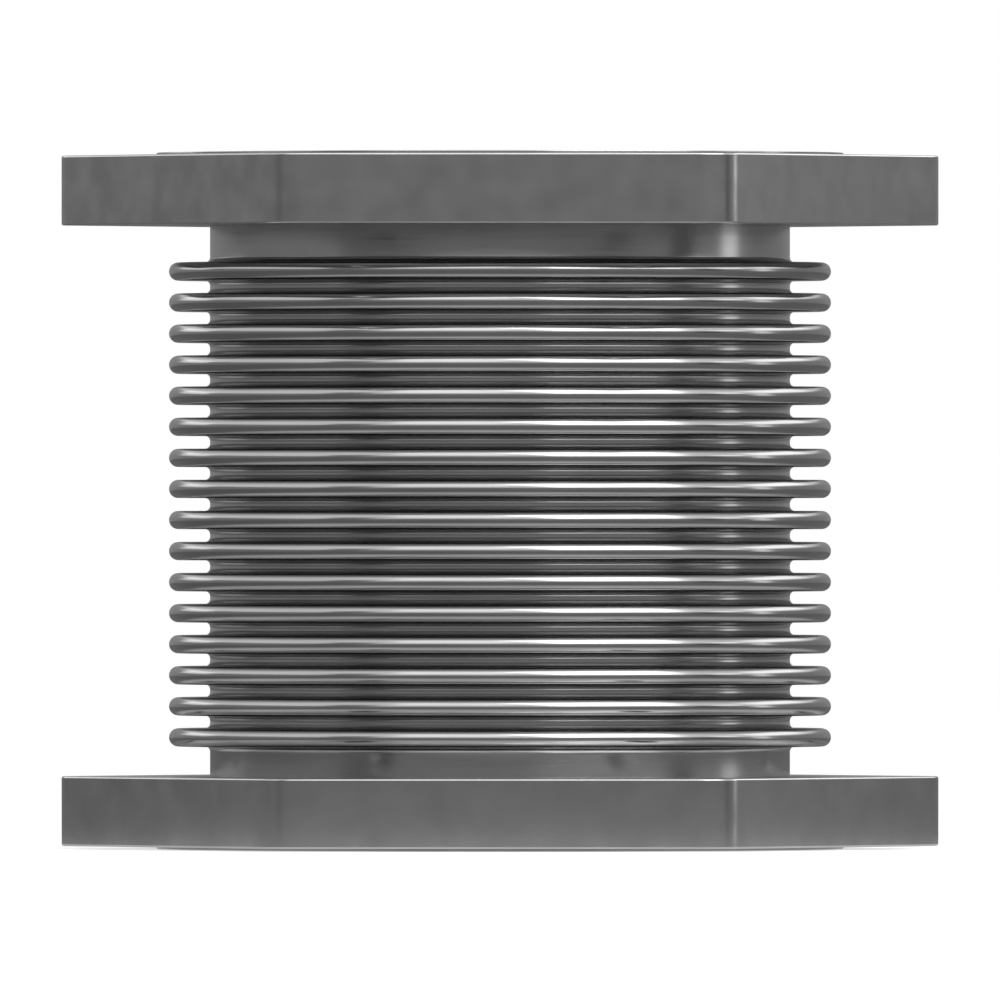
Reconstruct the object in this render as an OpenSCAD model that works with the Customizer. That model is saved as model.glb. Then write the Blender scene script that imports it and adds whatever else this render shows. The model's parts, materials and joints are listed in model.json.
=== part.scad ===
// Exhaust bellows: a formed, thin-walled steel tube with sixteen U-shaped convolutions.
// Each end of the tube passes through a loose hexagonal flange and is lapped over its outer face,
// so the flange can't come off, and the lap is the face that seals against the gasket.
// The axis is Z, and the lower lap stands on Z = 0. Two corners of each flange lie on the X axis.

/* [Bellows tube] */
// Outside diameter of the tube, at its necks and at the roots of its convolutions
tube_d = 127; // [100:0.5:132]
// Thickness of the tube's wall, the same in the necks, the convolutions and the laps
wall = 0.6; // [0.3:0.05:1.2]
// Radius of the bend where the neck turns out into its lap, on the flange's side
lap_bend_r = 1; // [0.8:0.1:1.5]
// How far a lap stands out past the tube's outside, to its square edge
lap_w = 11.7; // [6:0.1:14]

/* [Convolutions] */
// Number of convolutions
convolution_count = 16; // [2:1:24]
// Distance from one convolution to the next
pitch = 6.8; // [6.6:0.1:10]
// Height of a crest above the roots
convolution_h = 9; // [6:0.1:14]
// Outside width of a crest, which ends in a half round
crest_w = 4; // [3:0.1:4.2]
// Radius of the outside corners at the roots
root_corner_r = 1.1; // [0.8:0.05:1.15]

/* [Necks] */
// Bare tube between the lower flange and the first convolution
lower_neck = 6.5; // [2:0.1:20]
// Bare tube between the last convolution and the upper flange
upper_neck = 8.1; // [2:0.1:20]

/* [Flanges] */
// Thickness of a flange
flange_t = 15.3; // [8:0.1:20]
// Diameter of the bolt circle, with one bolt in each corner of the hexagon
bolt_circle_d = 171.45; // [171:0.05:200]
// Diameter of the bolt holes
bolt_hole_d = 11; // [7:0.5:14]
// Radius of the flange's corners, which are round about their bolt holes
corner_r = 10.3; // [9:0.1:16]
// Width of the bevel round the flange's edges
edge_bevel = 0.45; // [0.2:0.05:1]
// Width of the bevel at the mouths of the bolt holes
hole_bevel = 0.5; // [0.2:0.1:1]
// Gap between the tube and the flange's bore, all round
bore_gap = 0.3; // [0.1:0.05:0.5]

/* [Hidden] */
$fn = 144;
SIDES = 6;
SIDE_ANGLE = 360 / SIDES;
OVERCUT = 1;

crest_tip_r = crest_w / 2;
root_flat = pitch - crest_w - 2 * root_corner_r;
stack_h = (convolution_count - 1) * pitch + crest_w;

lower_flange_z = wall;
stack_z = lower_flange_z + flange_t + lower_neck;
upper_flange_z = stack_z + stack_h + upper_neck;
overall_h = upper_flange_z + flange_t + wall;

tube_r = tube_d / 2;
bore_r = tube_r - wall;
lap_r = tube_r + lap_w;
lap_bend_h = lap_bend_r + wall;
crest_centre_r = tube_r + convolution_h - crest_tip_r;
root_centre_r = tube_r + root_corner_r;

flange_bore_r = tube_r + bore_gap;
bore_relief = lap_bend_r + bore_gap;
bolt_r = bolt_circle_d / 2;
side_r = bolt_r * cos(SIDE_ANGLE / 2) + corner_r;
corner_chord_r = bolt_r + corner_r * cos(SIDE_ANGLE / 2);

// Section of the wall where it bends through a quarter turn round the origin.
// The bend lies between the directions from_x and from_z, which are each 1 or -1.
module quarter_bend(inner_r, from_x, from_z) {
    outer_r = inner_r + wall;
    intersection() {
        difference() {
            circle(r = outer_r);
            circle(r = inner_r);
        }
        translate([from_x < 0 ? -outer_r : 0, from_z < 0 ? -outer_r : 0]) square(outer_r);
    }
}

// Section of one convolution: root corner, side, half-round crest, side, root corner.
// Its middle lies at the height 0, and X is the distance from the tube's axis.
module convolution_section() {
    for (side = [-1, 1]) {
        translate([root_centre_r, side * (crest_tip_r + root_corner_r)])
            quarter_bend(root_corner_r, -1, -side);
        translate([root_centre_r, side * (crest_tip_r - wall / 2) - wall / 2])
            square([crest_centre_r - root_centre_r, wall]);
        translate([crest_centre_r, 0]) quarter_bend(crest_tip_r - wall, 1, side);
    }
}

// Section of one end: the straight neck inside its flange, the bend and the flat lap.
// The lap's outer face lies at the height 0, and the neck rises to the height neck_top.
module end_section(neck_top) {
    bend_r = tube_r + lap_bend_r;
    translate([bore_r, lap_bend_h]) square([wall, neck_top - lap_bend_h]);
    translate([bend_r, lap_bend_h]) quarter_bend(lap_bend_r, -1, -1);
    translate([bend_r, 0]) square([lap_r - bend_r, wall]);
}

// The whole wall in one piece: lapped end, convolutions with their root flats, lapped end.
module bellows_section() {
    first_crest_z = stack_z + crest_tip_r;
    end_section(stack_z - root_corner_r);
    translate([0, overall_h]) mirror([0, 1])
        end_section(overall_h - stack_z - stack_h - root_corner_r);
    for (i = [0 : convolution_count - 1])
        translate([0, first_crest_z + i * pitch]) convolution_section();
    for (i = [1 : convolution_count - 1])
        translate([bore_r, first_crest_z + (i - 0.5) * pitch - root_flat / 2])
            square([wall, root_flat]);
}

module bellows() {
    color("silver") rotate_extrude() bellows_section();
}

// A bar across the flange along Y, half_w wide to each side, with bevels along its edges.
module bevelled_bar(half_w, bevel_w) {
    length = 4 * bolt_r;
    rotate([90, 0, 0]) translate([0, 0, -length / 2]) linear_extrude(length)
        polygon([
            [bevel_w - half_w, 0], [half_w - bevel_w, 0],
            [half_w, edge_bevel], [half_w, flange_t - edge_bevel],
            [half_w - bevel_w, flange_t], [bevel_w - half_w, flange_t],
            [-half_w, flange_t - edge_bevel], [-half_w, edge_bevel]
        ]);
}

// One round corner of the flange: a bevelled disc.
module corner_disc() {
    rotate_extrude()
        polygon([
            [0, 0], [corner_r - edge_bevel, 0], [corner_r, edge_bevel],
            [corner_r, flange_t - edge_bevel], [corner_r - edge_bevel, flange_t], [0, flange_t]
        ]);
}

// The bevelled hexagon before it is bored. Three bars give its sides, and three more cut its sharp
// corners off at the chords of their arcs, which the discs round the bolt holes then fill out.
module flange_blank() {
    intersection_for (i = [0 : SIDES / 2 - 1]) {
        rotate(i * SIDE_ANGLE)
            intersection() {
                rotate(SIDE_ANGLE / 2) bevelled_bar(side_r, edge_bevel);
                bevelled_bar(corner_chord_r, edge_bevel * cos(SIDE_ANGLE / 2));
            }
    }
    for (i = [0 : SIDES - 1])
        rotate(i * SIDE_ANGLE) translate([bolt_r, 0]) corner_disc();
}

// What a drill and its countersinks take out of a flange.
module bolt_hole() {
    hole_r = bolt_hole_d / 2;
    mouth_r = hole_r + hole_bevel + OVERCUT;
    rotate_extrude()
        polygon([
            [0, -OVERCUT], [mouth_r, -OVERCUT], [hole_r, hole_bevel],
            [hole_r, flange_t - hole_bevel], [mouth_r, flange_t + OVERCUT], [0, flange_t + OVERCUT]
        ]);
}

// What the boring bar takes out of a flange. The lower mouth makes room for the lap's bend.
module flange_bore() {
    mouth_r = flange_bore_r + bore_relief + OVERCUT;
    rotate_extrude()
        polygon([
            [0, -OVERCUT], [mouth_r, -OVERCUT], [flange_bore_r, bore_relief],
            [flange_bore_r, flange_t + OVERCUT], [0, flange_t + OVERCUT]
        ]);
}

// A flange that stands on the height 0 with its gasket side down.
module flange() {
    difference() {
        flange_blank();
        flange_bore();
        for (i = [0 : SIDES - 1])
            rotate(i * SIDE_ANGLE) translate([bolt_r, 0]) bolt_hole();
    }
}

module lower_flange() {
    color("dimgray") translate([0, 0, lower_flange_z]) flange();
}

module upper_flange() {
    color("gray") translate([0, 0, upper_flange_z + flange_t]) mirror([0, 0, 1]) flange();
}

lower_flange();
bellows();
upper_flange();
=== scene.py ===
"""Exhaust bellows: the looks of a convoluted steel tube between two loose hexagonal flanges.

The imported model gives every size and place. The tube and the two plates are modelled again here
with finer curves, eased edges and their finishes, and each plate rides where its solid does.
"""

import json
import logging
import math
from dataclasses import dataclass
from enum import Enum

import bpy
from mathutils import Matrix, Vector


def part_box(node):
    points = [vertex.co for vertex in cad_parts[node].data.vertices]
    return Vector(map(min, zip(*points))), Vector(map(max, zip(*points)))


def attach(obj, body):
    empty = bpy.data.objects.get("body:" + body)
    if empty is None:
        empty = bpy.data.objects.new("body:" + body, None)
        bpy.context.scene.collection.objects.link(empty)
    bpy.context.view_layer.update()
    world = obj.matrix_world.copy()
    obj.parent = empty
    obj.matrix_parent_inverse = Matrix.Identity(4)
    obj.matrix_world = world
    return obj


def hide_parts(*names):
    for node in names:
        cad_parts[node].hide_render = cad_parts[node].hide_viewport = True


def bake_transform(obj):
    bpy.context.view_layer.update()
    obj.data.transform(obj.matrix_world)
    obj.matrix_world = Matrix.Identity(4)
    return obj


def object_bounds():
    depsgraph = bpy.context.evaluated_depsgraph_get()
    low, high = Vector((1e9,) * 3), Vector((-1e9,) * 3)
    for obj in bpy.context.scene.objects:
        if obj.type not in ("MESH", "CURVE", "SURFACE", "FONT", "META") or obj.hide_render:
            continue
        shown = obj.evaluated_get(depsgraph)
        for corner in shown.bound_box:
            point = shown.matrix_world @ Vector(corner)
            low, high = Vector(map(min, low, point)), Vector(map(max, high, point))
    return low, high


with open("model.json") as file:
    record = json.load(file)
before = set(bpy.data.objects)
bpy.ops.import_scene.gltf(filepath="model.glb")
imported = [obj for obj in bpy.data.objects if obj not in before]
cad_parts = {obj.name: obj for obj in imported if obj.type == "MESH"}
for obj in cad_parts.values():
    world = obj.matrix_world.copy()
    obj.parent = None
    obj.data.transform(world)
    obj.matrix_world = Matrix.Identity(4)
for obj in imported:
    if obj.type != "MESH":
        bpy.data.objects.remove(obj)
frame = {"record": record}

MM = 0.001
FRAME_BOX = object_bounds()

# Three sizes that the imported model's boxes and mounts don't give
CREST_R = 72.5 * MM
LOWER_NECK = 6.5 * MM
BORE_GAP = 0.3 * MM

# Directions in the tube's section, in degrees from outwards towards up
UP = 90
INWARDS = 180
DOWN = 270

FEWEST_CORNERS = 3
INSIDE_SKIN = -1.0
NO_SHEEN = 0.0
BLACK = (0.0, 0.0, 0.0, 1.0)
WHITE = (1.0, 1.0, 1.0, 1.0)

logging.basicConfig(level=logging.INFO, format="%(message)s")
log = logging.getLogger("exhaust_bellows")

Triple = tuple[float, float, float]


class Lap(Enum):
    """The two ends of the tube, each turned out over its own flange."""

    LOWER = "lower"
    UPPER = "upper"


class Body(Enum):
    """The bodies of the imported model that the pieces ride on."""

    TUBE = "tube"
    LOWER_END = "lower_end"
    UPPER_END = "upper_end"


class PlateSlot(Enum):
    """The material slots of a plate: its milled faces, and its broken edges, whose lighter steel
    paints their highlight.
    """

    FACES = 0
    EDGES = 1


def mount_size(name: str, key: str) -> float:
    """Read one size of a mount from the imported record.

    Args:
        name: The mount's name.
        key: The name of the size, which the record holds in millimetres.

    Returns:
        The size in metres.
    """
    mounts = {mount["name"]: mount for mount in frame["record"]["mounts"]}
    return mounts[name]["dims"][key] * MM


def start_afresh() -> None:
    """Leave edit mode and deselect everything, so that the next operator acts on its own piece."""
    if bpy.context.object and bpy.context.object.mode != "OBJECT":
        bpy.ops.object.mode_set(mode="OBJECT")
    bpy.ops.object.select_all(action="DESELECT")


def make_active(piece: bpy.types.Object) -> None:
    """Select one object alone and make it the active one.

    Args:
        piece: The object.
    """
    start_afresh()
    piece.select_set(True)
    bpy.context.view_layer.objects.active = piece


def name_new(name: str) -> bpy.types.Object:
    """Name the object that an operator has just added, and its mesh.

    Args:
        name: The name for both.

    Returns:
        The object.
    """
    piece = bpy.context.object
    piece.name = name
    piece.data.name = name
    return piece


def settle(piece: bpy.types.Object) -> None:
    """Put an object's place and turn into its mesh, so that the object sits at the origin.

    Args:
        piece: The object.
    """
    make_active(piece)
    bpy.ops.object.transform_apply(location=True, rotation=True, scale=True)


def apply_all(piece: bpy.types.Object) -> None:
    """Apply each of an object's modifiers in turn.

    Args:
        piece: The object.
    """
    make_active(piece)
    for modifier in list(piece.modifiers):
        bpy.ops.object.modifier_apply(modifier=modifier.name)


def cut(piece: bpy.types.Object, cutter: bpy.types.Object) -> None:
    """Take a cutter's shape out of a piece, and delete the cutter.

    Args:
        piece: The object that is cut.
        cutter: The closed object that is taken out of it.
    """
    boolean = piece.modifiers.new("Cut", "BOOLEAN")
    boolean.operation = "DIFFERENCE"
    boolean.solver = "EXACT"
    boolean.object = cutter
    apply_all(piece)
    bpy.data.objects.remove(cutter)


def ease(piece: bpy.types.Object, width: float, segments: int, above: float) -> bpy.types.Modifier:
    """Give a piece a bevel along its sharp edges, which is still to be applied.

    Args:
        piece: The object.
        width: The bevel's width.
        segments: How many faces lie across it.
        above: The least angle between the faces of a sharp edge, in degrees.

    Returns:
        The bevel modifier.
    """
    bevel = piece.modifiers.new("Ease", "BEVEL")
    bevel.width = width
    bevel.segments = segments
    bevel.limit_method = "ANGLE"
    bevel.angle_limit = math.radians(above)
    return bevel


def arc(x: float, z: float, radius: float, first: float, last: float, steps: int) -> list[Vector]:
    """Work out the points of an arc in the XZ plane.

    Args:
        x: Distance of the arc's centre from the tube's axis.
        z: Height of the arc's centre.
        radius: The arc's radius.
        first: The direction of its first point, in degrees from outwards towards up.
        last: The direction of its last point.
        steps: How many edges it has.

    Returns:
        The points, from the first to the last.
    """
    turns = [math.radians(first + (last - first) * i / steps) for i in range(steps + 1)]
    return [Vector((x + radius * math.cos(a), 0, z + radius * math.sin(a))) for a in turns]


class ShaderTree:
    """A node tree with short calls that add, set and link nodes."""

    def __init__(self, tree: bpy.types.NodeTree) -> None:
        """Take a tree over.

        Args:
            tree: The node tree of a material, a world or a group.
        """
        self.tree = tree

    def add(self, kind: str, **values: object) -> bpy.types.Node:
        """Add a node and set its properties.

        Args:
            kind: The node's type name.
            values: The properties to set.

        Returns:
            The node.
        """
        node = self.tree.nodes.new(kind)
        for key, value in values.items():
            setattr(node, key, value)
        return node

    def put(self, node: bpy.types.Node, **values: object) -> bpy.types.Node:
        """Set a node's unlinked inputs by name, with underscores for spaces.

        Args:
            node: The node.
            values: The inputs' names and their values.

        Returns:
            The same node.
        """
        for key, value in values.items():
            node.inputs[key.replace("_", " ")].default_value = value
        return node

    def join(self, source: bpy.types.NodeSocket, target: bpy.types.NodeSocket) -> None:
        """Link two sockets.

        Args:
            source: The output socket.
            target: The input socket.
        """
        self.tree.links.new(source, target)

    def calculate(self, operation: str, first: object, second: object) -> bpy.types.NodeSocket:
        """Add a math node on two values.

        Args:
            operation: The math node's operation.
            first: A socket or a number.
            second: A socket or a number.

        Returns:
            The node's output.
        """
        node = self.add("ShaderNodeMath", operation=operation)
        for socket, value in zip(node.inputs, (first, second)):
            if isinstance(value, bpy.types.NodeSocket):
                self.join(value, socket)
            else:
                socket.default_value = value
        return node.outputs[0]

    def fade(
        self, value: bpy.types.NodeSocket, near: float, far: float, start: float, end: float
    ) -> bpy.types.NodeSocket:
        """Add a node that turns smoothly from one level to another as a value rises.

        Args:
            value: The value.
            near: Where the turn begins.
            far: Where it ends.
            start: The level up to there.
            end: The level from there on.

        Returns:
            The node's output.
        """
        node = self.add("ShaderNodeMapRange", interpolation_type="SMOOTHSTEP")
        self.put(node, From_Min=near, From_Max=far, To_Min=start, To_Max=end)
        self.join(value, node.inputs["Value"])
        return node.outputs[0]

    def mirrored(self, rays: bpy.types.Node) -> bpy.types.NodeSocket:
        """Tell the rays that come by way of metal or glass.

        Args:
            rays: The Light Path node.

        Returns:
            A socket that is 1 for those rays and 0 for the others.
        """
        metal, glass = rays.outputs["Is Glossy Ray"], rays.outputs["Is Transmission Ray"]
        return self.calculate("MAXIMUM", metal, glass)


class CloudGroup:
    """The node group for uneven metal: slow clouds, and fine grain that can be drawn out."""

    NAME = "MetalClouds"
    INPUTS = (
        ("Vector", "NodeSocketVector"),
        ("Cloud Scale", "NodeSocketFloat"),
        ("Cloud Depth", "NodeSocketFloat"),
        ("Grain Depth", "NodeSocketFloat"),
        ("Grain Scale", "NodeSocketVector"),
        ("Colour", "NodeSocketColor"),
        ("Roughness", "NodeSocketFloat"),
    )
    OUTPUTS = (
        ("Colour", "NodeSocketColor"),
        ("Roughness", "NodeSocketFloat"),
        ("Height", "NodeSocketFloat"),
    )
    CLOUD_DETAIL = 1.5
    CLOUD_ROUGHNESS = 0.5
    GRAIN_DETAIL = 2.0
    GRAIN_ROUGHNESS = 0.6
    NOISE_MEAN = 0.5

    def __init__(self) -> None:
        """Build the group once."""
        self.group = bpy.data.node_groups.new(self.NAME, "ShaderNodeTree")
        for direction, sockets in (("INPUT", self.INPUTS), ("OUTPUT", self.OUTPUTS)):
            for name, kind in sockets:
                self.group.interface.new_socket(name, in_out=direction, socket_type=kind)
        self._wire()

    def _wire(self) -> None:
        """Link the group's clouds and grain to its outputs."""
        tree = ShaderTree(self.group)
        given = tree.add("NodeGroupInput").outputs
        result = tree.add("NodeGroupOutput").inputs
        clouds = tree.put(
            tree.add("ShaderNodeTexNoise"),
            Detail=self.CLOUD_DETAIL,
            Roughness=self.CLOUD_ROUGHNESS,
        )
        tree.join(given["Vector"], clouds.inputs["Vector"])
        tree.join(given["Cloud Scale"], clouds.inputs["Scale"])
        drawn = tree.add("ShaderNodeVectorMath", operation="MULTIPLY")
        tree.join(given["Vector"], drawn.inputs[0])
        tree.join(given["Grain Scale"], drawn.inputs[1])
        grain = tree.put(
            tree.add("ShaderNodeTexNoise"),
            Scale=1.0,
            Detail=self.GRAIN_DETAIL,
            Roughness=self.GRAIN_ROUGHNESS,
        )
        tree.join(drawn.outputs[0], grain.inputs["Vector"])
        uneven = tree.calculate(
            "ADD",
            self._swing(tree, clouds, given["Cloud Depth"]),
            self._swing(tree, grain, given["Grain Depth"]),
        )
        tint = tree.add("ShaderNodeVectorMath", operation="SCALE")
        tree.join(given["Colour"], tint.inputs[0])
        tree.join(tree.calculate("ADD", uneven, 1.0), tint.inputs["Scale"])
        tree.join(tint.outputs[0], result["Colour"])
        rougher = tree.calculate("SUBTRACT", 1.0, uneven)
        rougher = tree.calculate("MULTIPLY", given["Roughness"], rougher)
        tree.join(rougher, result["Roughness"])
        height = tree.calculate("ADD", grain.outputs["Fac"], clouds.outputs["Fac"])
        tree.join(height, result["Height"])

    def _swing(
        self, tree: ShaderTree, noise: bpy.types.Node, depth: bpy.types.NodeSocket
    ) -> bpy.types.NodeSocket:
        """Work out how far a noise swings about its mean.

        Args:
            tree: The group's tree.
            noise: The noise texture.
            depth: How much of the swing is wanted.

        Returns:
            The swing, which is 0 where the noise is at its mean.
        """
        off_mean = tree.calculate("SUBTRACT", noise.outputs["Fac"], self.NOISE_MEAN)
        return tree.calculate("MULTIPLY", off_mean, depth)


@dataclass(frozen=True)
class MetalFinish:
    """A bare metal surface: its colour, its gloss, and how uneven the two are.

    Attributes:
        name: The material's name.
        colour: Its base colour.
        roughness: Its mean roughness.
        cloud_scale: How many clouds there are to a metre.
        cloud_depth: How strongly they shift the colour and the roughness.
        grain_scale: How many grains there are to a metre, along each axis.
        grain_depth: How strongly they shift the colour and the roughness.
        bump_strength: Strength of the bump.
        bump_height: Height of the bump.
    """

    name: str
    colour: Triple
    roughness: float
    cloud_scale: float
    cloud_depth: float
    grain_scale: Triple
    grain_depth: float
    bump_strength: float
    bump_height: float

    def build(self, clouds: CloudGroup) -> bpy.types.Material:
        """Make the material.

        Args:
            clouds: The node group that spreads the colour and gloss.

        Returns:
            The material.
        """
        material = bpy.data.materials.new(self.name)
        material.use_nodes = True
        material.diffuse_color = (*self.colour, 1.0)
        tree = ShaderTree(material.node_tree)
        shader = material.node_tree.nodes["Principled BSDF"]
        tree.put(shader, Metallic=1.0)
        place = tree.add("ShaderNodeTexCoord")
        uneven = tree.add("ShaderNodeGroup", node_tree=clouds.group)
        tree.put(
            uneven,
            Cloud_Scale=self.cloud_scale,
            Cloud_Depth=self.cloud_depth,
            Grain_Scale=self.grain_scale,
            Grain_Depth=self.grain_depth,
            Colour=(*self.colour, 1.0),
            Roughness=self.roughness,
        )
        tree.join(place.outputs["Object"], uneven.inputs["Vector"])
        tree.join(uneven.outputs["Colour"], shader.inputs["Base Color"])
        tree.join(uneven.outputs["Roughness"], shader.inputs["Roughness"])
        bump = tree.put(
            tree.add("ShaderNodeBump"), Strength=self.bump_strength, Distance=self.bump_height
        )
        tree.join(uneven.outputs["Height"], bump.inputs["Height"])
        tree.join(bump.outputs["Normal"], shader.inputs["Normal"])
        return material


MILLED_PLATE = MetalFinish(
    name="milled_plate_steel",
    colour=(0.435, 0.435, 0.435),
    roughness=0.23,
    cloud_scale=120.0,
    cloud_depth=0.7,
    grain_scale=(700.0, 700.0, 1400.0),
    grain_depth=0.06,
    bump_strength=0.1,
    bump_height=0.04 * MM,
)
# A lighter copy of the plate's steel for the eased edges: a painted highlight along them.
PAINTED_HIGHLIGHT_EDGE = MetalFinish(
    name="painted_highlight_broken_edge",
    colour=(0.66, 0.66, 0.66),
    roughness=0.2,
    cloud_scale=60.0,
    cloud_depth=0.25,
    grain_scale=(900.0, 900.0, 900.0),
    grain_depth=0.08,
    bump_strength=0.15,
    bump_height=0.03 * MM,
)
ROLLED_STAINLESS = MetalFinish(
    name="rolled_stainless",
    colour=(0.45, 0.45, 0.45),
    roughness=0.18,
    cloud_scale=40.0,
    cloud_depth=0.35,
    grain_scale=(32.0, 32.0, 700.0),
    grain_depth=0.06,
    bump_strength=0.15,
    bump_height=0.1 * MM,
)


@dataclass
class BellowsTube:
    """The formed tube: necks, convolutions and laps, drawn as one section and spun.

    Attributes:
        bore_r: Inside radius of the tube.
        wall: Thickness of its wall.
        crest_r: Outside radius of the crests.
        lap_r: Outside radius of the laps.
        height: Overall height.
        stack_z: Height of the lower side of the first convolution.
        convolutions: How many convolutions there are.
        pitch: Distance from one to the next.
        crest_w: Outside width of a crest, which ends in a half round.
        root_corner_r: Radius of the outside corners at the roots.
        lap_bend_r: Radius of the laps' bends, on the flange's side.
        rim_ease: Width of the ease on the laps' rims.
        ease_segments: How many faces lie across that ease.
        ease_above: The least angle of an edge that is eased, in degrees.
        smooth_below: The greatest angle that is shaded smooth, in degrees.
        crest_steps: Edges round a crest.
        corner_steps: Edges round a root corner or a lap's bend.
        turns: Steps round the axis.
        merge_distance: Points that lie closer than this become one.
    """

    bore_r: float
    wall: float
    crest_r: float
    lap_r: float
    height: float
    stack_z: float
    convolutions: int = 16
    pitch: float = 6.8 * MM
    crest_w: float = 4.0 * MM
    root_corner_r: float = 1.1 * MM
    lap_bend_r: float = 1.0 * MM
    rim_ease: float = 0.12 * MM
    ease_segments: int = 2
    ease_above: float = 60.0
    smooth_below: float = 40.0
    crest_steps: int = 12
    corner_steps: int = 4
    turns: int = 128
    merge_distance: float = 1e-6

    @property
    def tube_r(self) -> float:
        """Outside radius of the necks and the roots."""
        return self.bore_r + self.wall

    @property
    def stack_top(self) -> float:
        """Height of the upper side of the last convolution."""
        return self.stack_z + (self.convolutions - 1) * self.pitch + self.crest_w

    def section(self) -> list[Vector]:
        """Work out the outer skin's section, from the lower lap's edge to the upper one's.

        Returns:
            The points, in the XZ plane.
        """
        bend_x = self.tube_r + self.lap_bend_r
        root_x = self.tube_r + self.root_corner_r
        tip_r = self.crest_w / 2
        reach = tip_r + self.root_corner_r
        low = self.wall + self.lap_bend_r
        high = self.height - low
        points = [Vector((self.lap_r, 0, self.wall))]
        points += arc(bend_x, low, self.lap_bend_r, DOWN, INWARDS, self.corner_steps)
        for i in range(self.convolutions):
            middle = self.stack_z + tip_r + i * self.pitch
            below, above = middle - reach, middle + reach
            points += arc(root_x, below, self.root_corner_r, INWARDS, UP, self.corner_steps)
            points += arc(self.crest_r - tip_r, middle, tip_r, -UP, UP, self.crest_steps)
            points += arc(root_x, above, self.root_corner_r, DOWN, INWARDS, self.corner_steps)
        points += arc(bend_x, high, self.lap_bend_r, INWARDS, UP, self.corner_steps)
        return points + [Vector((self.lap_r, 0, self.height - self.wall))]

    def draw_section(self) -> bpy.types.Object:
        """Draw the section as one line of edges, by extruding a single point along it.

        Returns:
            The line, as an object in edit mode.
        """
        points = self.section()
        start_afresh()
        bpy.ops.mesh.primitive_circle_add(
            vertices=FEWEST_CORNERS, radius=self.wall, location=points[0]
        )
        line = name_new("bellows_tube")
        bpy.ops.object.transform_apply(location=True)
        bpy.ops.object.mode_set(mode="EDIT")
        bpy.ops.mesh.select_mode(type="VERT")
        bpy.ops.mesh.select_all(action="SELECT")
        bpy.ops.mesh.merge(type="CENTER")
        for here, there in zip(points, points[1:]):
            bpy.ops.mesh.extrude_region_move(TRANSFORM_OT_translate={"value": there - here})
        return line

    def build(self) -> bpy.types.Object:
        """Model the tube.

        Returns:
            The finished tube.
        """
        tube = self.draw_section()
        bpy.ops.mesh.select_all(action="SELECT")
        bpy.ops.mesh.spin(
            steps=self.turns,
            angle=math.tau,
            center=(0, 0, 0),
            axis=(0, 0, 1),
            use_auto_merge=True,
        )
        bpy.ops.mesh.select_all(action="SELECT")
        bpy.ops.mesh.remove_doubles(threshold=self.merge_distance)
        self.face_outwards(tube)
        bpy.ops.object.mode_set(mode="OBJECT")
        thick = tube.modifiers.new("Wall", "SOLIDIFY")
        thick.thickness = self.wall
        thick.offset = INSIDE_SKIN
        thick.use_even_offset = True
        ease(tube, self.rim_ease, self.ease_segments, self.ease_above)
        apply_all(tube)
        bpy.ops.object.shade_smooth_by_angle(angle=math.radians(self.smooth_below))
        return tube

    def face_outwards(self, tube: bpy.types.Object) -> None:
        """Make the skin's faces agree, and turn them over if they point at the axis.

        Args:
            tube: The spun skin, in edit mode.
        """
        bpy.ops.mesh.normals_make_consistent(inside=False)
        bpy.ops.object.mode_set(mode="OBJECT")
        neck_low = self.wall + self.lap_bend_r
        neck_high = self.stack_z - self.root_corner_r
        outwardness = sum(
            face.normal.dot(Vector((face.center.x, face.center.y, 0)))
            for face in tube.data.polygons
            if neck_low < face.center.z < neck_high
        )
        bpy.ops.object.mode_set(mode="EDIT")
        if outwardness < 0:
            bpy.ops.mesh.select_all(action="SELECT")
            bpy.ops.mesh.flip_normals()


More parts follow.
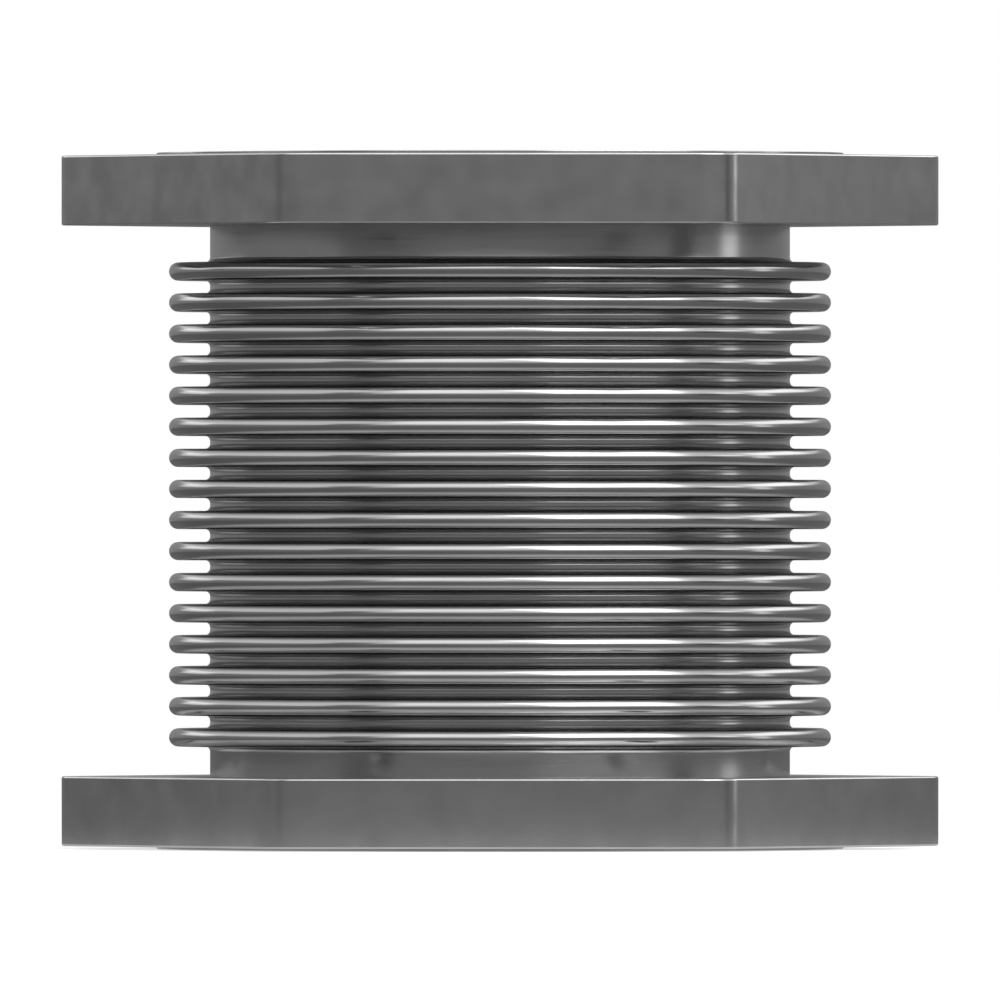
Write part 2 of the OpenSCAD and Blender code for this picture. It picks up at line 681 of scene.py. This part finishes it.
@dataclass
class FlangePlate:
    """One hexagonal plate: six round corners about bolt holes, eased edges and a wide bore.

    Attributes:
        end: Which end of the tube it is on.
        low: Height of its lower face.
        high: Height of its upper face.
        bolt_circle_r: Radius of the circle of its bolt holes.
        hole_r: Radius of a bolt hole.
        corner_r: Radius of its corners.
        bore_r: Radius of its bore.
        bore_relief: How far the bore's outer mouth is opened, for the bend of the lap.
        edge_ease: Width of the ease on its edges.
        ease_segments: How many faces lie across that ease.
        ease_above: The least angle of an edge that is eased, in degrees.
        smooth_below: The greatest angle that is shaded smooth, in degrees.
        flat_within: Faces that turn by less than this become one, in degrees.
        sides: How many corners it has.
        corner_steps: Sides of the discs that its corners are stretched round.
        bore_steps: Sides of the bore.
        hole_steps: Sides of a bolt hole.
    """

    end: Lap
    low: float
    high: float
    bolt_circle_r: float
    hole_r: float
    corner_r: float
    bore_r: float
    bore_relief: float = 1.3 * MM
    edge_ease: float = 0.45 * MM
    ease_segments: int = 3
    ease_above: float = 60.0
    smooth_below: float = 35.0
    flat_within: float = 1.0
    sides: int = 6
    corner_steps: int = 96
    bore_steps: int = 192
    hole_steps: int = 48

    @property
    def middle(self) -> float:
        """Height of the plate's mid-plane."""
        return (self.low + self.high) / 2

    @property
    def thickness(self) -> float:
        """Thickness of the plate."""
        return self.high - self.low

    @property
    def drill_height(self) -> float:
        """Height of a cutter that goes right through the plate."""
        return self.thickness * 2

    def bolt_centres(self) -> list[Vector]:
        """Work out the centres of the corners, which are those of the bolt holes.

        Returns:
            The centres, at the mid-plane, the first on the X axis.
        """
        radius, middle = self.bolt_circle_r, self.middle
        turns = [math.tau * i / self.sides for i in range(self.sides)]
        return [Vector((radius * math.cos(a), radius * math.sin(a), middle)) for a in turns]

    def posts(self, name: str, steps: int, radius: float, height: float) -> bpy.types.Object:
        """Stand one upright cylinder in each corner, and join them.

        Args:
            name: The name of the joined object.
            steps: Sides of a cylinder.
            radius: Its radius.
            height: Its height.

        Returns:
            The joined object.
        """
        start_afresh()
        cylinders = []
        for centre in self.bolt_centres():
            bpy.ops.mesh.primitive_cylinder_add(
                vertices=steps, radius=radius, depth=height, location=centre
            )
            cylinders.append(bpy.context.object)
        for cylinder in cylinders:
            cylinder.select_set(True)
        bpy.ops.object.join()
        return name_new(name)

    def blank(self) -> bpy.types.Object:
        """Stretch a skin round six discs, one in each corner.

        Returns:
            The plate before it is bored.
        """
        name = f"{self.end.value}_plate"
        plate = self.posts(name, self.corner_steps, self.corner_r, self.thickness)
        for _ in PlateSlot:
            plate.data.materials.append(None)
        settle(plate)
        bpy.ops.object.mode_set(mode="EDIT")
        bpy.ops.mesh.select_all(action="SELECT")
        bpy.ops.mesh.convex_hull()
        bpy.ops.mesh.select_all(action="SELECT")
        bpy.ops.mesh.dissolve_limited(angle_limit=math.radians(self.flat_within))
        bpy.ops.object.mode_set(mode="OBJECT")
        return plate

    def bore(self, plate: bpy.types.Object) -> None:
        """Bore the plate, and relieve the bore's outer mouth for the bend of the lap.

        Args:
            plate: The plate.
        """
        start_afresh()
        bpy.ops.mesh.primitive_cylinder_add(
            vertices=self.bore_steps,
            radius=self.bore_r,
            depth=self.drill_height,
            location=(0, 0, self.middle),
        )
        cut(plate, name_new("bore_cutter"))
        start_afresh()
        wide = self.bore_r + 2 * self.bore_relief
        at_low = self.end is Lap.LOWER
        bpy.ops.mesh.primitive_cone_add(
            vertices=self.bore_steps,
            radius1=wide if at_low else self.bore_r,
            radius2=self.bore_r if at_low else wide,
            depth=2 * self.bore_relief,
            location=(0, 0, self.low if at_low else self.high),
        )
        cut(plate, name_new("relief_cutter"))

    def build(self) -> bpy.types.Object:
        """Model the plate.

        Returns:
            The finished plate.
        """
        plate = self.blank()
        self.bore(plate)
        cut(plate, self.posts("drills", self.hole_steps, self.hole_r, self.drill_height))
        make_active(plate)
        bpy.ops.object.shade_smooth_by_angle(angle=math.radians(self.smooth_below))
        eased = ease(plate, self.edge_ease, self.ease_segments, self.ease_above)
        eased.use_clamp_overlap = False
        eased.harden_normals = True
        # The eased edges take the lighter steel that paints their highlight.
        eased.material = PlateSlot.EDGES.value
        apply_all(plate)
        return plate


@dataclass(frozen=True)
class Softbox:
    """One studio light panel, aimed at the middle of the part.

    Attributes:
        name: The light's name.
        azimuth: Its direction in degrees, from the front towards the right.
        elevation: How many degrees it hangs above the part.
        distance: Its distance from the part's middle.
        width: Its width.
        height: Its height.
        radiance: How bright its face is, where 1 is white.
    """

    name: str
    azimuth: float
    elevation: float
    distance: float
    width: float
    height: float
    radiance: float

    def hang(self, target: Vector) -> None:
        """Add the panel as an area light.

        Args:
            target: The point that the panel faces.
        """
        turn, rise = math.radians(self.azimuth), math.radians(self.elevation)
        away = Vector(
            (math.sin(turn) * math.cos(rise), -math.cos(turn) * math.cos(rise), math.sin(rise))
        )
        bpy.ops.object.light_add(type="AREA", location=target + away * self.distance)
        lamp = bpy.context.object
        lamp.name = self.name
        lamp.rotation_euler = away.to_track_quat("Z", "Y").to_euler()
        lamp.data.shape = "RECTANGLE"
        lamp.data.size = self.width
        lamp.data.size_y = self.height
        lamp.data.energy = self.radiance * math.pi * self.width * self.height
        lamp.visible_camera = False


# Name, azimuth, elevation, distance, width, height, radiance
SOFTBOXES = (
    Softbox("key_panel", 43.0, 41.0, 1.4, 1.25, 1.2, 2.0),
    Softbox("front_panel", -18.0, 43.0, 2.0, 1.3, 1.2, 0.65),
    Softbox("right_rear_panel", 125.0, 27.0, 1.5, 1.05, 0.38, 1.1),
    Softbox("left_rear_panel", -136.0, 14.0, 1.5, 0.7, 0.28, 0.85),
    Softbox("right_panel", 88.0, 18.0, 1.5, 0.35, 0.3, 0.9),
    Softbox("side_strip", 103.0, 6.0, 1.5, 0.24, 0.5, 1.0),
)


def finish_card(card: bpy.types.Object, level: float) -> None:
    """Make a card look evenly lit from everywhere, and let only the metal see it.

    Args:
        card: The card, which gives its name to the material.
        level: How bright it looks, where 1 is white.
    """
    material = bpy.data.materials.new(card.name)
    material.use_nodes = True
    ShaderTree(material.node_tree).put(
        material.node_tree.nodes["Principled BSDF"],
        Base_Color=BLACK,
        Specular_IOR_Level=NO_SHEEN,
        Emission_Color=WHITE,
        Emission_Strength=level,
    )
    card.data.materials.append(material)
    card.visible_camera = False
    card.visible_diffuse = False
    card.visible_shadow = False


@dataclass(frozen=True)
class StandingCard:
    """One upright card at the side of the set, which draws a darker patch into the metal.

    Attributes:
        name: The card's name.
        azimuth: Its direction in degrees, from the front towards the right.
        distance: Its distance from the part's axis.
        width: Its width.
        height: Its height.
        level: How bright it looks, where 1 is white.
    """

    name: str
    azimuth: float
    distance: float
    width: float
    height: float
    level: float

    def stand(self, floor_z: float) -> None:
        """Stand the card on the floor, turned to the part and out of the camera's sight.

        Args:
            floor_z: Height of the floor.
        """
        turn = math.radians(self.azimuth)
        start_afresh()
        bpy.ops.mesh.primitive_plane_add(
            size=1.0,
            location=(
                math.sin(turn) * self.distance,
                -math.cos(turn) * self.distance,
                floor_z + self.height / 2,
            ),
            rotation=(math.pi / 2, 0, turn),
        )
        card = name_new(self.name)
        card.scale = (self.width, self.height, 1.0)
        settle(card)
        finish_card(card, self.level)


# Name, azimuth, distance, width, height, level
STANDING_CARDS = (
    StandingCard("dark_card_left", -57.0, 1.2, 0.34, 0.4, 0.2),
    StandingCard("dark_card_right", 76.0, 1.2, 0.24, 0.4, 0.11),
    StandingCard("tall_card_left", -54.0, 1.3, 0.4, 0.8, 0.28),
)


@dataclass
class Studio:
    """The pale floor, the soft light round the part and the long lens in front of it.

    Attributes:
        low: Lowest corner of the part's box.
        high: Highest corner of the part's box.
        camera_distance: From the camera to the part's middle.
        camera_raise: How far the camera stands above the part's middle.
        view_width: Width of the picture, at the part's middle.
        sensor_width: Width of the camera's sensor, in its own millimetres.
        far_clip: How far the camera sees.
        round_steps: Edges round the floor and round the grey card.
        floor_r: Radius of the floor.
        floor_drop: Gap between the floor and the part.
        floor_roughness: Roughness of the floor.
        sheet_r: Radius of the pale sheet under the part.
        sheet_fade: Width of its soft edge.
        sheet_glow: How bright metal sees it, beyond the light that falls on it.
        sheet_shade: Its grey.
        table_shade: The grey of the table round it.
        seen_shade: The floor's grey to the camera.
        seen_glow: What is added to that to make it white.
        card_r: Radius of the grey card that stands round the part.
        card_rise: How many degrees that card rises, seen from the floor's middle.
        card_level: How bright it looks, where 1 is white.
        room_level: Strength of the world's soft light.
        dark_rise: How many degrees up the middle of the world's darker part lies, at the back.
        dark_from: Cosine of the angle from there at which the darkening begins.
        dark_to: Cosine of the angle from there at which it is full.
        dark_level: How bright metal sees the world there.
    """

    low: Vector
    high: Vector
    camera_distance: float = 9.09
    camera_raise: float = 0.18 * MM
    view_width: float = 219.0 * MM
    sensor_width: float = 36.0
    far_clip: float = 60.0
    round_steps: int = 96
    floor_r: float = 12.0
    floor_drop: float = 0.05 * MM
    floor_roughness: float = 0.9
    sheet_r: float = 0.12
    sheet_fade: float = 0.07
    sheet_glow: float = 0.4
    sheet_shade: float = 0.3
    table_shade: float = 0.22
    seen_shade: float = 0.8
    seen_glow: float = 0.6
    card_r: float = 1.8
    card_rise: float = 17.5
    card_level: float = 0.28
    room_level: float = 0.5
    dark_rise: float = 65.0
    dark_from: float = 0.58
    dark_to: float = 0.88
    dark_level: float = 0.3

    @property
    def centre(self) -> Vector:
        """The middle of the part."""
        return (self.low + self.high) / 2

    def set_camera(self) -> None:
        """Put the camera level with the part's middle, far off, with a long lens."""
        bpy.ops.object.camera_add(
            location=self.centre + Vector((0, -self.camera_distance, self.camera_raise)),
            rotation=(math.pi / 2, 0, 0),
        )
        camera = bpy.context.object
        camera.name = "long_lens"
        camera.data.sensor_width = self.sensor_width
        camera.data.lens = self.sensor_width * self.camera_distance / self.view_width
        camera.data.clip_end = self.far_clip
        bpy.context.scene.camera = camera

    def lay_floor(self) -> None:
        """Lay a pale sheet on a grey table, which take the part's shadow and look white."""
        start_afresh()
        bpy.ops.mesh.primitive_circle_add(
            vertices=self.round_steps,
            radius=self.floor_r,
            fill_type="NGON",
            location=(self.centre.x, self.centre.y, self.low.z - self.floor_drop),
        )
        floor = name_new("floor")
        settle(floor)
        floor.data.materials.append(self.floor_finish())

    def floor_finish(self) -> bpy.types.Material:
        """Make the floor's material.

        Returns:
            The material.
        """
        material = bpy.data.materials.new("pale_floor")
        material.use_nodes = True
        tree = ShaderTree(material.node_tree)
        shader = material.node_tree.nodes["Principled BSDF"]
        tree.put(shader, Roughness=self.floor_roughness, Specular_IOR_Level=NO_SHEEN)
        tree.put(shader, Emission_Color=WHITE)
        rays = tree.add("ShaderNodeLightPath")
        seen = rays.outputs["Is Camera Ray"]
        place = tree.add("ShaderNodeTexCoord")
        reach = tree.add("ShaderNodeVectorMath", operation="LENGTH")
        tree.join(place.outputs["Object"], reach.inputs[0])
        sheet_end = self.sheet_r + self.sheet_fade
        sheet = tree.fade(reach.outputs["Value"], self.sheet_r, sheet_end, 1.0, 0.0)
        shade = tree.calculate("MULTIPLY", sheet, self.sheet_shade - self.table_shade)
        shade = tree.calculate("ADD", shade, self.table_shade)
        seen_shade = tree.calculate("MULTIPLY", seen, self.seen_shade)
        shade = tree.calculate("MAXIMUM", shade, seen_shade)
        tree.join(shade, shader.inputs["Base Color"])
        glow = tree.calculate("MULTIPLY", sheet, self.sheet_glow)
        glow = tree.calculate("MULTIPLY", tree.mirrored(rays), glow)
        glow = tree.calculate("ADD", glow, tree.calculate("MULTIPLY", seen, self.seen_glow))
        tree.join(glow, shader.inputs["Emission Strength"])
        clear = tree.add("ShaderNodeBsdfTransparent")
        side = tree.add("ShaderNodeNewGeometry")
        one_way = tree.add("ShaderNodeMixShader")
        tree.join(side.outputs["Backfacing"], one_way.inputs["Fac"])
        tree.join(shader.outputs["BSDF"], one_way.inputs[1])
        tree.join(clear.outputs["BSDF"], one_way.inputs[2])
        surface = material.node_tree.nodes["Material Output"].inputs["Surface"]
        tree.join(one_way.outputs["Shader"], surface)
        return material

    def stand_cards(self) -> None:
        """Stand a grey card round the part, and the others, out of the camera's sight."""
        start_afresh()
        height = self.card_r * math.tan(math.radians(self.card_rise))
        bpy.ops.mesh.primitive_cylinder_add(
            vertices=self.round_steps,
            radius=self.card_r,
            depth=height,
            end_fill_type="NOTHING",
            location=(self.centre.x, self.centre.y, self.low.z + height / 2),
        )
        card = name_new("grey_card")
        settle(card)
        finish_card(card, self.card_level)
        for standing in STANDING_CARDS:
            standing.stand(self.low.z)

    def set_world(self) -> None:
        """Set a world that is white to the camera, and darker where metal mirrors its top."""
        world = bpy.data.worlds.new("white_room")
        world.use_nodes = True
        bpy.context.scene.world = world
        tree = ShaderTree(world.node_tree)
        sky = world.node_tree.nodes["Background"]
        rays = tree.add("ShaderNodeLightPath")
        seen = rays.outputs["Is Camera Ray"]
        mirrored = tree.mirrored(rays)
        rise = math.radians(self.dark_rise)
        place = tree.add("ShaderNodeTexCoord")
        nearness = tree.add("ShaderNodeVectorMath", operation="DOT_PRODUCT")
        tree.join(place.outputs["Generated"], nearness.inputs[0])
        nearness.inputs[1].default_value = (0.0, math.cos(rise), math.sin(rise))
        dimmed = tree.fade(
            nearness.outputs["Value"], self.dark_from, self.dark_to, 1.0, self.dark_level
        )
        others = tree.calculate("SUBTRACT", 1.0, tree.calculate("MAXIMUM", seen, mirrored))
        level = tree.calculate("MULTIPLY", others, self.room_level)
        level = tree.calculate("ADD", seen, level)
        level = tree.calculate("ADD", level, tree.calculate("MULTIPLY", mirrored, dimmed))
        tree.join(level, sky.inputs["Strength"])
        tree.put(sky, Color=WHITE)

    def build(self) -> None:
        """Set the stage up."""
        self.set_camera()
        self.lay_floor()
        self.stand_cards()
        self.set_world()
        for softbox in SOFTBOXES:
            softbox.hang(self.centre)
        bpy.context.scene.view_settings.view_transform = "Standard"


def dress(
    piece: bpy.types.Object, finishes: list[bpy.types.Material], node: str
) -> None:
    """Give a piece its materials, and let it stand for its solid.

    Args:
        piece: The piece.
        finishes: Its materials, in the order of its material slots.
        node: The solid that it replaces.
    """
    for i, finish in enumerate(finishes):
        if i < len(piece.data.materials):
            piece.data.materials[i] = finish
        else:
            piece.data.materials.append(finish)
    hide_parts(node)
    log.info("%s: %d faces, stands for %s", piece.name, len(piece.data.polygons), node)


def make_tube() -> BellowsTube:
    """Take the tube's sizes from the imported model.

    Returns:
        The tube, ready to be built.
    """
    low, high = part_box("bellows")
    plate_low, plate_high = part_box("lower_flange")
    return BellowsTube(
        bore_r=mount_size("gas_passage", "r_mm"),
        wall=plate_low[2] - low[2],
        crest_r=CREST_R,
        lap_r=(high[0] - low[0]) / 2,
        height=high[2],
        stack_z=plate_high[2] + LOWER_NECK,
    )


def make_plate(end: Lap, tube: BellowsTube) -> FlangePlate:
    """Take a plate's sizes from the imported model.

    Args:
        end: Which end of the tube it is on.
        tube: The tube that it surrounds.

    Returns:
        The plate, ready to be built.
    """
    low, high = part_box(f"{end.value}_flange")
    bolt_circle_r = mount_size(f"{end.value}_bolts", "pcd_mm") / 2
    return FlangePlate(
        end=end,
        low=low[2],
        high=high[2],
        bolt_circle_r=bolt_circle_r,
        hole_r=mount_size(f"{end.value}_bolts", "hole_r_mm"),
        corner_r=(high[0] - low[0]) / 2 - bolt_circle_r,
        bore_r=tube.tube_r + BORE_GAP,
    )


def main() -> None:
    """Build the stage, the tube and both plates, and let each plate ride on its body."""
    Studio(low=Vector(FRAME_BOX[0]), high=Vector(FRAME_BOX[1])).build()
    clouds = CloudGroup()
    plate_steel = MILLED_PLATE.build(clouds)
    # The plates' eased edges get a lighter steel, a painted highlight.
    painted_highlight_edge = PAINTED_HIGHLIGHT_EDGE.build(clouds)
    stainless = ROLLED_STAINLESS.build(clouds)

    tube = make_tube()
    shell = tube.build()
    dress(shell, [stainless], "bellows")
    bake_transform(shell)
    for end, body in ((Lap.LOWER, Body.LOWER_END), (Lap.UPPER, Body.UPPER_END)):
        plate = make_plate(end, tube).build()
        dress(plate, [plate_steel, painted_highlight_edge], f"{end.value}_flange")
        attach(plate, body.value)


if __name__ == "__main__":
    main()
